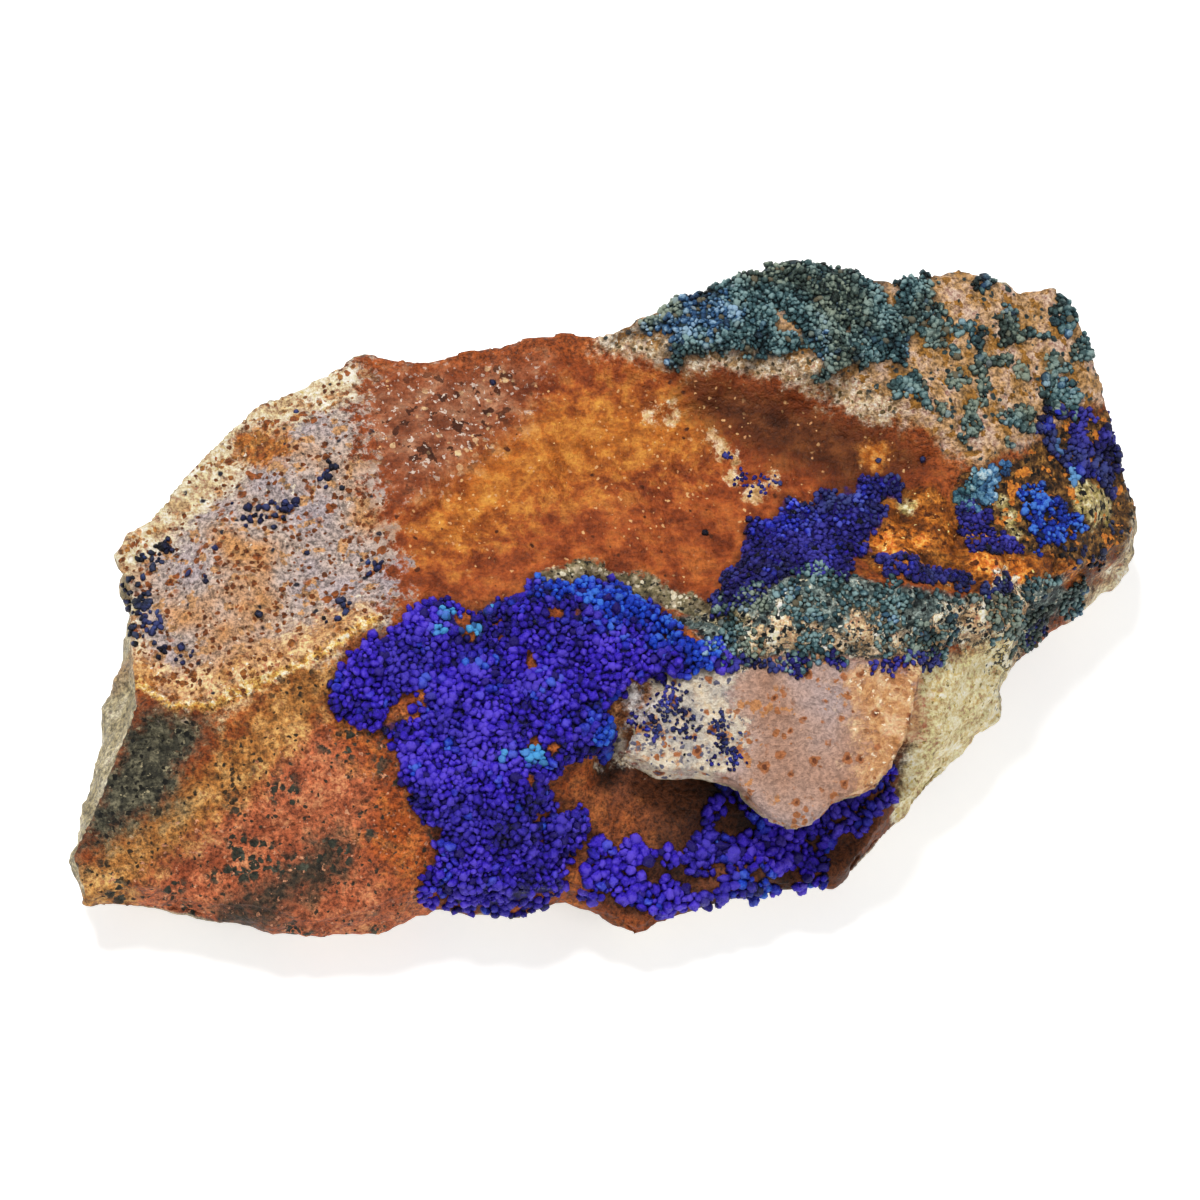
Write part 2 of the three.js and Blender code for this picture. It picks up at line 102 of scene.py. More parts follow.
# Painted in this order
ZONES = [
    colour_zone("rust_hollow", "#6c2c10 #9c4a20 #b8642c", "mid", wander=2.0, soft=1.5, outline=[
        (862, 452), (905, 450), (935, 445), (990, 447), (1040, 460), (1080, 476), (1098, 492),
        (1062, 502), (1030, 510), (1000, 545), (935, 535), (880, 548), (868, 510),
    ]),
    colour_zone("red_slope", "#964a2c #bc6842 #d68c5e", "mid", wander=2.5, soft=2.0, outline=[
        (748, 640), (780, 630), (815, 612), (835, 590), (862, 578), (892, 600), (900, 668), (840, 674),
        (790, 664), (750, 662),
    ]),
    colour_zone("orange_flank", "#803812 #a65020 #c07236", "mid", wander=2.5, soft=2.0, outline=[
        (858, 560), (880, 590), (880, 605), (890, 622), (896, 650), (880, 655), (862, 640), (868, 612),
        (845, 585),
    ]),
    colour_zone("golden_stripe", "#885222 #b2783c #d6a462", "mid", wander=2.4, soft=1.8, line=[
        (752, 656), (772, 641), (790, 626), (812, 608), (828, 592), (842, 574),
    ], width=6.0),
    colour_zone("sooty_band", "#2e2a22 #54402f #7b4a34", "fine", wander=2.5, soft=1.8, line=[
        (815, 664), (832, 652), (850, 640),
    ], width=4.5),
    colour_zone("olive_stain", "#26251d #454234 #6e6852", "fine", wander=3.2, soft=2.4, outline=[
        (783, 578), (803, 585), (803, 596), (793, 607), (792, 619), (777, 628), (757, 637), (748, 640),
        (758, 618), (768, 598), (775, 584),
    ]),
    colour_zone("golden_hollow", "#9c5014 #bc6c26 #d8923c", "mid", wander=4.0, soft=4.0, outline=[
        (905, 480), (940, 465), (985, 458), (1010, 470), (1000, 484), (965, 491), (930, 502), (905, 520),
        (890, 524), (887, 510),
    ]),
    colour_zone("brown_hollow", "#3a1c0a #5a2c12 #78421e", "mid", wander=2.5, soft=2.5, outline=[
        (990, 452), (1030, 458), (1075, 474), (1090, 488), (1055, 496), (1020, 484), (995, 468),
    ]),
    colour_zone("dusky_upper_hollow", "#6e361c #96583a #b07c5c", "mid", wander=3.0, soft=3.0, outline=[
        (866, 455), (905, 452), (935, 446), (925, 470), (900, 492), (880, 500), (868, 480),
    ]),
    colour_zone("pale_left", "#bc8654 #b8a294 #a89a9c", "broad", wander=4.4, soft=0.8, outline=[
        (762, 525), (782, 513), (806, 487), (829, 463), (848, 450), (866, 447), (862, 460), (866, 486),
        (871, 505), (876, 520), (880, 538), (866, 550), (840, 565), (809, 580), (783, 580), (770, 560),
    ]),
    colour_zone("cream_rim_left", "#c09e70 #d6c49e #e8e0cc", "mid", wander=2.6, soft=1.2, line=[
        (766, 560), (764, 534), (772, 520), (790, 506), (812, 484), (838, 464), (852, 458),
    ], width=5.5),
    colour_zone("rusty_patch_left", "#84481c #a8642c #c48a48", "fine", wander=2.0, soft=0.8, outline=[
        (816, 476), (836, 474), (838, 486), (826, 490), (815, 486),
    ]),
    colour_zone("hollow_flakes", "#a87840 #dcb884 #f6e8cc", "fine", wander=1.8, soft=0.4, spots=[
        (1006, 482, 3), (1011, 493, 3), (1019, 498, 4), (1027, 494, 2), (1002, 477, 2), (978, 467, 3),
        (985, 468, 3), (1012, 484, 2),
    ]),
    colour_zone("golden_margin", "#b87c3a #d09e62 #e6c898", "mid", wander=2.6, soft=2.2, line=[
        (776, 566), (792, 574), (806, 574), (822, 567), (842, 557), (860, 547),
    ], width=3.6),
    # the golden line along the crease: partly its golden colour, partly a painted highlight on its ridge
    colour_zone("golden_crease_and_highlight", "#9a5c20 #deb058 #fcf2d0", "fine", wander=0.8, soft=0.35, line=[
        (772, 574), (790, 581), (805, 581), (820, 574), (840, 565), (856, 555), (868, 548),
    ], width=1.1),
    colour_zone("pale_right", "#946a32 #bc946a #caac98", "mid", wander=1.6, soft=0.8, outline=[
        (955, 442), (985, 424), (1015, 408), (1035, 402), (1085, 400), (1142, 406), (1158, 425),
        (1174, 458), (1150, 468), (1130, 478), (1112, 490), (1096, 480), (1078, 470), (1060, 458),
        (1035, 448), (1000, 443),
    ]),
    colour_zone("tan_step", "#a07c4e #c8ac88 #ead9c2", "fine", wander=1.8, soft=0.8, line=[
        (962, 440), (990, 443), (1020, 446), (1048, 453), (1072, 464),
    ], width=2.6),
    colour_zone("orange_knobs", "#44200a #7a400e #a86826", "mid", wander=1.4, soft=0.6, outline=[
        (1062, 514), (1070, 498), (1092, 494), (1104, 510), (1125, 518), (1145, 522), (1162, 530),
        (1156, 541), (1112, 539), (1085, 534), (1064, 530),
    ]),
    colour_zone("knob_tops", "#8a4410 #b4661e #d89448", "fine", wander=1.8, soft=1.0, spots=[
        (1063, 518, 6), (1072, 521, 6), (1083, 519, 4), (1112, 529, 6), (1124, 531, 5), (1148, 529, 4),
        (1069, 484, 6),
    ]),
    colour_zone("end_rock", "#281a10 #58391a #966a32", "fine", wander=1.4, soft=0.6, outline=[
        (1100, 492), (1128, 484), (1150, 466), (1174, 470), (1180, 500), (1172, 526), (1150, 528),
        (1104, 518),
    ]),
    colour_zone("end_flakes", "#8a7a40 #b8a468 #e6d8b0", "fine", wander=1.2, soft=0.4, spots=[
        (1121, 503, 3), (1123, 508, 4), (1124, 514, 3), (1157, 501, 6), (1081, 505, 3),
    ]),
    colour_zone("cream_end", "#b09a72 #cdbb98 #e5dcc4", "mid", wander=1.2, soft=0.8, outline=[
        (1172, 476), (1186, 500), (1184, 530), (1150, 548), (1152, 538), (1168, 526), (1174, 505),
    ]),
    colour_zone("crest", "#1e2426 #46524f #8a948c", "fine", wander=0.8, soft=0.4, outline=[
        (986, 548), (1003, 541), (1020, 536), (1035, 529), (1050, 527), (1062, 532), (1090, 537),
        (1112, 539), (1130, 533), (1150, 536), (1152, 543), (1136, 552), (1122, 557), (1105, 557),
        (1090, 563), (1068, 565), (1040, 563), (1015, 564), (1001, 559),
    ]),
    colour_zone("olive_fringe", "#3c3a2a #7c7050 #b4a488", "fine", wander=1.4, soft=0.4, line=[
        (936, 533), (950, 530), (966, 533), (983, 539), (1000, 546), (1014, 550),
    ], width=2.6),
    colour_zone("crest_cream", "#74522e #b09470 #e0d2bc", "mid", wander=4.0, soft=0.5, spots=[
        (1022, 556, 7), (1032, 553, 8), (1052, 557, 7), (1063, 553, 9), (1106, 551, 9), (1092, 557, 6),
        (1043, 552, 6), (1078, 560, 6), (1124, 552, 5),
    ]),
    colour_zone("pocket", "#3c1f12 #58301a #744026", "broad", wander=1.6, soft=1.2, outline=[
        (940, 606), (962, 596), (1000, 590), (1080, 590), (1090, 620), (1060, 655), (1000, 665),
        (960, 660), (938, 630),
    ], level=11 * MM, below=True),
    colour_zone("pocket_glow", "#70381a #904c24 #a86232", "mid", wander=1.6, soft=2.0, outline=[
        (936, 610), (955, 616), (972, 622), (975, 634), (960, 638), (944, 632),
    ], below=True),
    colour_zone("pocket_shade", "#140b08 #22130c #341c10", "mid", wander=1.2, soft=1.5, spots=[
        (960, 610, 4), (964, 607, 4), (1003, 617, 6), (1016, 627, 6),
    ], below=True),
    colour_zone("pale_slope", "#c6b27c #e2d2a2 #f2ead0", "mid", wander=1.0, soft=0.8, outline=[
        (1082, 566), (1100, 562), (1125, 558), (1128, 580), (1100, 612), (1085, 628), (1076, 622),
        (1084, 590),
    ]),
    colour_zone("ledge_chert", "#ac8068 #b89482 #b49c96", "broad", wander=0.4, soft=0.5, outline=[
        (985, 567), (1010, 569), (1045, 566), (1072, 569), (1084, 575), (1080, 600), (1071, 612),
        (1052, 619), (1036, 628), (1026, 627), (1012, 612), (998, 610), (980, 608), (964, 600),
        (971, 588), (983, 576),
    ], above=True, grow=1.0),
    colour_zone("ledge_orange", "#b0703c #cf9a68 #e6c296", "mid", wander=3.2, soft=1.4, outline=[
        (1058, 572), (1070, 571), (1083, 571), (1085, 600), (1074, 612), (1062, 616), (1066, 600),
        (1064, 588),
    ], above=True, grow=1.0),
    colour_zone("ledge_cream", "#aaa4a0 #ccbeaa #e8d6ba", "mid", wander=2.4, soft=0.6, outline=[
        (984, 566), (1008, 570), (1003, 585), (1012, 592), (1004, 606), (980, 610), (962, 602),
        (974, 586),
    ], above=True, grow=1.0),
    colour_zone("ledge_brown", "#4a2812 #7c4a28 #a87850", "fine", wander=1.0, soft=0.5, spots=[
        (964, 584, 6), (971, 578, 6), (974, 588, 5),
    ]),
    colour_zone("ledge_flake", "#988a84 #c4b8b4 #ece4de", "fine", wander=1.6, soft=0.4, spots=[
        (970, 580, 4), (972, 585, 4),
    ]),
]

MOTTLE_SIZES_MM = {"fine": 0.9, "mid": 2.4}
GROUND_TONES = "#7c3814 #9c4e22 #b4662e"
SIDE_PALE_TONES = "#877a5c #a89a78 #c6bba0"
SIDE_STAIN_TONES = "#6a4424 #8e6238 #b08a58"
SIDE_STAIN_SHARE = 0.8
UNDERSIDE_TONES = "#8a7a62 #a8977c #beb098"
CRUST_GROUND_SHADE_TONES = {  # dark ground under the beads, from painted shade in the gaps between the grains to their tops
    "azurite": "#0a0624 #1a0f5c #2a189a",
    "bluegreen_druse": "#0e1416 #26353a #456064",
}
CRUST_RIM_SHADE_TONE = "#34190a"  # painted shade on the rock beside a closed crust

# Waves of noise over the rock: size in mm, octaves, and a shift that keeps each apart from the others
WAVES = {
    "ridges": (5.0, 4, 31.0),
    "broad": (8.0, 4, 41.0),
    "clusters": (4.5, 2, 53.0),
    "stains": (9.0, 4, 61.0),
    "holes": (4.5, 2, 71.0),
    "bare_clumps": (2.6, 2, 83.0),
    "patches": (3.5, 2, 29.0),
    "drift": (7.0, 3, 19.0),
}


def dots(tone, size_mm, reach, clusters=False):
    """Round flecks, each of a radius up to its reach, in sizes. With clusters they show only in these."""
    return {"tone": tone, "dots_mm": size_mm, "reach": reach, "clusters": clusters}


def blots(tone, size_mm, above, clusters=False):
    """Ragged flecks, where a pattern of this size is above the limit."""
    return {"tone": tone, "blots_mm": size_mm, "above": above, "clusters": clusters}


# Flecks in the zones, painted in this order
FLECKS = {
    # in the rust hollow: dark dots, then pale dots that are painted glints
    "rust_hollow": [dots("#4e220c", 1.8, 0.2), dots("#dca870", 0.75, 0.3, clusters=True)],
    "dusky_upper_hollow": [
        blots("#4a2412", 1.6, 0.57), blots("#d8c4b4", 0.7, 0.61),
        dots("#e0bc8c", 1.0, 0.45, clusters=True),
    ],
    "pale_left": [
        blots("#e4d8c6", 0.7, 0.66), blots("#b8895e", 1.6, 0.58),
        dots("#8c4c24", 1.0, 0.6, clusters=True), dots("#6c3818", 0.75, 0.5), dots("#24222c", 1.8, 0.22),
    ],
    "golden_margin": [dots("#8c5426", 1.0, 0.5)],
    "cream_rim_left": [dots("#a06a34", 0.75, 0.5, clusters=True)],
    "red_slope": [
        blots("#44463a", 1.6, 0.58, clusters=True), dots("#32342a", 1.0, 0.72, clusters=True),
        dots("#3c3226", 0.75, 0.38), blots("#c88a66", 0.7, 0.64),
    ],
    "golden_stripe": [dots("#2a2418", 1.0, 0.5, clusters=True), dots("#3c2c18", 0.75, 0.4)],
    "olive_stain": [blots("#8f8466", 0.7, 0.63), dots("#14130e", 0.75, 0.5)],
    # pale blots in the golden hollow: painted glints
    "golden_hollow": [blots("#ecc080", 0.7, 0.69)],
    "ledge_chert": [
        blots("#c08454", 1.6, 0.58, clusters=True), dots("#a8683e", 1.0, 0.5, clusters=True),
        dots("#a86840", 1.8, 0.42), dots("#6a3820", 1.8, 0.24),
    ],
    "ledge_orange": [blots("#f8e4c4", 0.7, 0.64)],
    "ledge_cream": [blots("#74707c", 0.7, 0.58, clusters=True), dots("#5c5a6c", 0.75, 0.45)],
    "pale_right": [blots("#96682e", 1.6, 0.55), dots("#2c3a3a", 1.0, 0.42)],
    "tan_step": [blots("#f0e6d0", 0.7, 0.6), dots("#5a4a2c", 0.75, 0.45)],
    "crest_cream": [blots("#30302e", 0.7, 0.54)],
    "olive_fringe": [blots("#1c1e18", 0.7, 0.57), dots("#d8ccb0", 0.75, 0.5)],
    "crest": [blots("#b8b09a", 0.7, 0.64), dots("#0c0f10", 0.75, 0.5)],
    "orange_knobs": [blots("#4a2208", 1.6, 0.6), blots("#e8bc78", 0.7, 0.67)],
    "end_rock": [blots("#14100c", 0.7, 0.56), blots("#c8782c", 1.6, 0.58)],
    "pale_slope": [blots("#a8904e", 0.7, 0.62)],
}


def bead_layer(sizes, bare=0, spacing=1.3, lift=0.2, edge=1.0, **place):
    """A layer of beads. Each size is the smallest and the largest radius of one pass of beads, in mm, the
    large before the small; the share that is bare is left without beads, in clumps; spacing and lift are
    in radii; edge scales the waves of the rim. A hole is where a slow wave falls below minus its value."""
    return {"sizes": sizes, "bare": bare, "spacing": spacing, "lift": lift, "edge": edge} | place


CRUSTS = [
    {
        "name": "azurite_beads_main", "node": "azurite_druse_main", "palette": "azurite",
        "slot": "azurite",
        "layers": [
            bead_layer([(0.36, 0.58), (0.24, 0.34)], lift=0.15, edge=0.7, holes=0.6, outline=[
                (858, 567), (868, 554), (890, 543), (910, 543), (927, 542), (932, 534), (950, 532),
                (966, 535), (982, 541), (990, 549), (1002, 557), (1004, 563), (986, 569), (976, 573),
                (962, 579), (960, 592), (957, 603), (945, 606), (938, 614), (944, 622), (950, 627),
                (943, 636), (941, 645), (935, 653), (914, 658), (901, 655), (891, 648), (895, 638),
                (893, 628), (883, 620), (877, 608), (880, 600), (868, 592), (854, 582),
            ]),
            bead_layer([(0.36, 0.58)], bare=0.72, lift=0.15, edge=0.5, outline=[
                (930, 612), (948, 620), (946, 640), (938, 654), (928, 663), (897, 663), (884, 650),
                (888, 640), (905, 640), (925, 630),
            ]),
        ],
    },
    {
        "name": "azurite_beads_lower", "node": "azurite_druse_lower", "palette": "azurite",
        "slot": "azurite",
        "layers": [
            bead_layer([(0.46, 0.72), (0.28, 0.42)], bare=0.28, lift=0.25, edge=0.7, outline=[
                (950, 645), (957, 638), (975, 637), (990, 641), (998, 628), (1004, 612), (1030, 600),
                (1066, 600), (1073, 614), (1067, 626), (1053, 630), (1054, 642), (1050, 652), (1030, 656),
                (1010, 657), (990, 659), (980, 659), (968, 655), (954, 654),
            ], level=10.5 * MM, below=True),
        ],
    },
    {
        "name": "azurite_beads_upper", "node": "azurite_patch_upper", "palette": "navy_azurite",
        "slot": "azurite",
        "layers": [
            bead_layer([(0.24, 0.42)], lift=0.1, outline=[
                (984, 543), (1008, 534), (1018, 522), (1024, 510), (1033, 502), (1056, 499), (1062, 492),
                (1078, 489), (1080, 496), (1070, 503), (1071, 513), (1060, 517), (1061, 529), (1040, 530),
                (1028, 535), (1018, 541), (1002, 547),
            ]),
            bead_layer([(0.25, 0.4)], bare=0.1, lift=0.3, edge=0.3, line=[
                (1007, 566), (1022, 566), (1037, 566),
            ], width=1.0),
            bead_layer([(0.25, 0.4)], bare=0.2, lift=0.3, edge=0.3, line=[
                (1050, 564), (1068, 568), (1090, 564),
            ], width=1.2),
        ],
    },
    {
        "name": "azurite_beads_end", "node": "azurite_patch_end", "palette": "navy_azurite",
        "slot": "azurite",
        "layers": [
            bead_layer([(0.32, 0.55), (0.2, 0.3)], bare=0.3, spacing=1.25, edge=1.3, outline=[
                (1138, 488), (1140, 468), (1156, 465), (1172, 472), (1176, 490), (1164, 496), (1148, 496),
            ]),
            bead_layer([(0.26, 0.42), (0.18, 0.25)], bare=0.1, spacing=1.25, edge=0.8, outline=[
                (1101, 505), (1112, 503), (1119, 514), (1126, 519), (1116, 522), (1104, 518),
            ]),
            bead_layer([(0.26, 0.42), (0.18, 0.25)], bare=0.15, spacing=1.25, edge=0.8, line=[
                (1079, 527), (1088, 530), (1099, 533),
            ], width=2.8),
            bead_layer([(0.25, 0.4)], bare=0.2, spacing=1.25, edge=0.6, line=[
                (1112, 537), (1121, 536),
            ], width=1.6),
            bead_layer([(0.22, 0.32)], bare=0.1, spacing=1.25, lift=0.1, edge=0.2, line=[
                (1129, 555), (1136, 552),
            ], width=1.0),
        ],
    },
    {
        "name": "azure_beads_end", "palette": "azure_azurite", "slot": "azurite",
        "layers": [
            bead_layer([(0.28, 0.5), (0.18, 0.26)], bare=0.15, spacing=1.2, lift=0.15, edge=0.9, outline=[
                (1125, 494), (1136, 493), (1143, 502), (1153, 507), (1154, 515), (1145, 521), (1133, 517),
                (1129, 507),
            ]),
        ],
    },
    {
        "name": "sky_plates_end", "palette": "sky_azurite", "slot": "azurite", "flat": 0.4,
        "layers": [
            bead_layer([(0.26, 0.5), (0.16, 0.24)], bare=0.3, spacing=1.05, lift=0.3, edge=0.9, outline=[
                (1101, 497), (1109, 490), (1122, 488), (1127, 496), (1119, 503), (1106, 505),
            ]),
        ],
    },
    {
        "name": "bluegreen_beads_back", "node": "bluegreen_druse_back", "palette": "bluegreen_druse",
        "slot": "bluegreen_druse",
        "layers": [
            bead_layer([(0.25, 0.42), (0.17, 0.24)], lift=0.15, holes=0.56, outline=[
                (966, 437), (1000, 420), (1015, 412), (1035, 407), (1080, 413), (1088, 428), (1082, 446),
                (1060, 450), (1040, 447), (1010, 444), (985, 441),
            ]),
            bead_layer([(0.3, 0.5), (0.2, 0.3)], bare=0.74, spacing=1.15, lift=0.15, outline=[
                (1082, 418), (1110, 412), (1142, 418), (1160, 440), (1168, 462), (1150, 468), (1130, 470),
                (1116, 486), (1100, 480), (1082, 466), (1070, 452), (1084, 440),
            ]),
        ],
    },
    {
        "name": "bluegreen_druse_crest", "node": "bluegreen_druse_ridge", "palette": "bluegreen_druse",
        "slot": "bluegreen_druse",
        "layers": [
            bead_layer([(0.22, 0.4)], bare=0.35, spacing=1.4, outline=[
                (988, 547), (1003, 541), (1020, 536), (1035, 529), (1050, 528), (1062, 533), (1090, 538),
                (1112, 540), (1130, 534), (1148, 537), (1150, 543), (1136, 551), (1122, 556), (1105, 556),
                (1090, 562), (1068, 565), (1040, 563), (1015, 564), (1003, 558),
            ]),
        ],
    },
]
CRUST_EDGES = [(5.0, 2.2, 11.0), (1.8, 1.0, 47.0)]  # sizes and reaches of its waves, in mm, and shifts
HOLE_SLOPE_MM = 5.0  # how fast a crust gets deeper away from a hole

# Round places in the crusts: bare rock, and beads of a lighter blue, as (u, v, radius) in px.
BARE_SPOTS_PX = [
    (904, 549, 3), (905, 555, 3), (886, 577, 2), (887, 582, 2), (885, 587, 2), (917, 549, 2),
    (918, 556, 2), (930, 596, 3), (938, 599, 3), (929, 611, 3), (940, 546, 3), (947, 547, 3),
    (964, 584, 6), (971, 578, 6), (974, 588, 5), (1028, 555, 9), (1059, 555, 9), (1106, 551, 8),
    (996, 552, 7), (1122, 504, 3), (1123, 510, 4), (1157, 501, 7), (898, 566, 2), (1043, 637, 4),
]
AZURE_SPOTS_PX = [
    (940, 534, 7), (952, 535, 8), (962, 541, 9), (974, 545, 10), (984, 553, 9), (994, 558, 7),
    (962, 592, 5), (1050, 645, 4), (1012, 650, 2), (1025, 652, 2), (1031, 510, 6), (1000, 430, 9),
    (985, 437, 7),
]
SPOT_FADE_MM = 0.7
AZURE_FADE_MM = 2.5
SKY_SPOTS_PX = [
    (897, 546, 5), (906, 553, 4), (893, 553, 4), (914, 543, 3), (918, 604, 3), (931, 602, 5),
    (941, 609, 3), (950, 614, 3), (955, 618, 3), (1149, 491, 4), (1144, 480, 3),
]

# Small clumps that sit on the rock by themselves, as (u, v, spread in px, count).
CLUMPS = [
    {
        "name": "azurite_specks_pale",
        "palette": "night_azurite",
        "radius": (0.2, 0.42),
        "places_px": [
            (776, 537, 5, 14), (779, 542, 5, 20), (782, 548, 5, 20), (776, 553, 5, 16), (782, 525, 5, 14),
            (788, 521, 4, 12), (820, 509, 4, 8), (829, 507, 5, 14), (835, 505, 3, 8), (851, 494, 5, 12),
            (869, 528, 3, 9), (856, 544, 4, 10), (850, 549, 2, 2), (786, 559, 3, 7), (796, 562, 3, 6),
            (839, 468, 1, 1), (836, 460, 1, 2), (796, 530, 1, 2), (807, 521, 1, 1), (842, 522, 1, 1),
            (823, 546, 1, 2), (814, 503, 1, 1), (803, 533, 2, 2), (1150, 522, 6, 12), (1160, 525, 5, 10),
            (1164, 512, 4, 5), (999, 514, 1, 1), (1069, 486, 1, 1), (1087, 486, 1, 1), (915, 456, 1, 1),
        ],
    },
    {
        "name": "azurite_specks_ledge",
        "palette": "navy_azurite",
        "radius": (0.14, 0.27),
        "places_px": [
            (986, 577, 5, 24), (983, 583, 7, 50), (990, 590, 7, 50), (978, 591, 5, 24),
            (972, 588, 4, 16), (1004, 588, 4, 18), (1006, 596, 6, 36), (1010, 604, 4, 16),
            (1000, 603, 3, 6), (1008, 484, 2, 12), (1014, 494, 4, 14), (1025, 495, 4, 14),
            (1020, 497, 4, 10),
        ],
    },
]

random = np.random.default_rng(SEED)


# Reading the photograph's pixels onto the rock

PHOTO_LENS = Vector((0, -math.cos(PHOTO_TILT), math.sin(PHOTO_TILT))) * PHOTO_DISTANCE - PART_ON_TABLE
PHOTO_AHEAD = Vector((0, math.cos(PHOTO_TILT), -math.sin(PHOTO_TILT)))
PHOTO_UP = Vector((0, math.sin(PHOTO_TILT), math.cos(PHOTO_TILT)))
PHOTO_RIGHT = Vector((1, 0, 0))


def search_tree(mesh):
    corners = [vertex.co for vertex in mesh.vertices]
    return BVHTree.FromPolygons(corners, [face.vertices for face in mesh.polygons])


CAD_ROCK = search_tree(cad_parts["matrix_rock"].data)


def photo_ray(u, v):
    right = (u - PHOTO_CENTRE_PX) / PHOTO_FOCAL_PX
    up = (PHOTO_CENTRE_PX - v) / PHOTO_FOCAL_PX
    return PHOTO_AHEAD + right * PHOTO_RIGHT + up * PHOTO_UP


def on_rock(u, v, level=None):
    """Where the photograph's pixel lies on the rock, or at a level where one is given."""
    ray = photo_ray(u, v)
    hit = None
    if level is None:
        hit = CAD_ROCK.ray_cast(PHOTO_LENS, ray)[0]
        level = OUTSIDE_LEVEL
    return hit or PHOTO_LENS + ray * ((level - PHOTO_LENS.z) / ray.z)


def plan_mm(pixels, level=None):
    return np.array([on_rock(u, v, level).xy for u, v in pixels]) / MM


def edge_distance(points, start, end):
    """Distance of plan points to a straight edge."""
    edge = end - start
    offset = points - start
    share = np.clip(offset @ edge / (edge @ edge), 0, 1)
    return np.linalg.norm(offset - share[:, None] * edge, axis=1)


def inside_outline(points, outline):
    inside = np.zeros(len(points), bool)
    for (ax, ay), (bx, by) in zip(outline, np.roll(outline, -1, axis=0)):
        if ay != by:
            crossing = ax + (points[:, 1] - ay) / (by - ay) * (bx - ax)
            inside ^= ((ay > points[:, 1]) != (by > points[:, 1])) & (points[:, 0] < crossing)
    return inside


def zone_depth_mm(points, zone):
    """How deep surface points lie inside a zone, in mm, negative outside."""
    plan = points[:, :2] / MM
    if "line" in zone:
        line = plan_mm(zone["line"])
        nearest = np.min([edge_distance(plan, a, b) for a, b in zip(line, line[1:])], axis=0)
        depth = zone["width"] / 2 - nearest
    elif "spots" in zone:
        depth = np.max([spot_depth_mm(plan, *spot) for spot in zone["spots"]], axis=0)
    else:
        outline = plan_mm(zone["outline"], zone.get("level"))
        edges = zip(outline, np.roll(outline, -1, axis=0))
        nearest = np.min([edge_distance(plan, a, b) for a, b in edges], axis=0)
        depth = np.where(inside_outline(plan, outline), nearest, -nearest)
    depth = depth + zone.get("grow", 0)
    if "above" in zone:
        depth = np.minimum(depth, (points[:, 2] - LEDGE_FLOOR) / MM)
    if "below" in zone:
        depth = np.minimum(depth, (LEDGE_FLOOR - points[:, 2]) / MM)
    return depth


def spot_depth_mm(plan, u, v, radius_px):
    middle, rim = plan_mm([(u, v), (u + radius_px, v)])
    return np.linalg.norm(rim - middle) - np.linalg.norm(plan - middle, axis=1)


def spot_shares(points, spots_px, fade_mm=SPOT_FADE_MM):
    """How strongly each point lies in any of the round spots, 0 to 1."""
    plan = points[:, :2] / MM
    depth = np.max([spot_depth_mm(plan, *spot) for spot in spots_px], axis=0)
    return ramp(depth, -fade_mm, fade_mm)


# Meshes

def noise_field(points, wavelength_mm, octaves=3, shift=0.0):
    """Smooth noise, about -1 to 1, at each point."""
    scaled = points / (wavelength_mm * MM) + shift
    return np.array([noise.fractal(Vector(p), 1.0, 2.0, octaves) for p in scaled])


def wave(points, name):
    return noise_field(points, *WAVES[name])


def lumps(points, size_mm):
    """Rounded lumps with creases between them, about -0.5 to 0.5, at each point."""
    nearest = [noise.voronoi(Vector(p))[0][0] for p in points / (size_mm * MM)]
    return 0.5 - np.square(nearest)


def ramp(values, start, end):
    """0 at start and beyond, 1 at end and beyond."""
    return np.clip((values - start) / (end - start), 0, 1)


def read_vertices(mesh):
    places = np.empty(len(mesh.vertices) * 3, np.float32)
    mesh.vertices.foreach_get("co", places)
    normals = np.empty(len(mesh.vertices) * 3, np.float32)
    mesh.vertex_normals.foreach_get("vector", normals)
    return places.reshape(-1, 3).astype(float), normals.reshape(-1, 3).astype(float)


def write_vertices(mesh, places):
    mesh.vertices.foreach_set("co", places.astype(np.float32).ravel())
    mesh.update()


def store(mesh, name, values):
    """Keeps one number for each vertex, for the material to read."""
    attribute = mesh.attributes.new(name, "FLOAT", "POINT")
    attribute.data.foreach_set("value", np.asarray(values, np.float32))


def add_object(name, mesh):
    piece = bpy.data.objects.new(name, mesh)
    bpy.context.scene.collection.objects.link(piece)
    return piece


def applied(piece):
    """The piece's mesh with its modifiers applied."""
    graph = bpy.context.evaluated_depsgraph_get()
    mesh = bpy.data.meshes.new_from_object(piece.evaluated_get(graph))
    piece.modifiers.clear()
    piece.data = mesh
    return mesh


def smooth_shade(mesh):
    mesh.polygons.foreach_set("use_smooth", np.ones(len(mesh.polygons), bool))


def welded_copy(node):
    """A copy of a CAD node's mesh with its loose triangles joined up."""
    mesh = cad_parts[node].data.copy()
    mesh.materials.clear()
    work = bmesh.new()
    work.from_mesh(mesh)
    bmesh.ops.remove_doubles(work, verts=work.verts, dist=1e-6)
    work.to_mesh(mesh)
    work.free()
    return mesh


def crust_depth(points, layer):
    """How deep points lie inside a layer of a crust, with its ragged rim and its holes."""
    depth = zone_depth_mm(points, layer)
    for wave_mm, reach_mm, shift in CRUST_EDGES:
        depth += layer["edge"] * reach_mm * noise_field(points, wave_mm, 2, shift)
    if "holes" in layer:
        depth = np.minimum(depth, HOLE_SLOPE_MM * (wave(points, "holes") + layer["holes"]))
    return depth


def closed_crust_depth(places, slot):
    """How deep points lie inside the crusts of one kind that leave no rock bare."""
    crusts = [crust for crust in CRUSTS if crust["slot"] == slot]
    layers = [layer for crust in crusts for layer in crust["layers"] if layer["bare"] == 0]
    return np.max([crust_depth(places, layer) for layer in layers], axis=0)


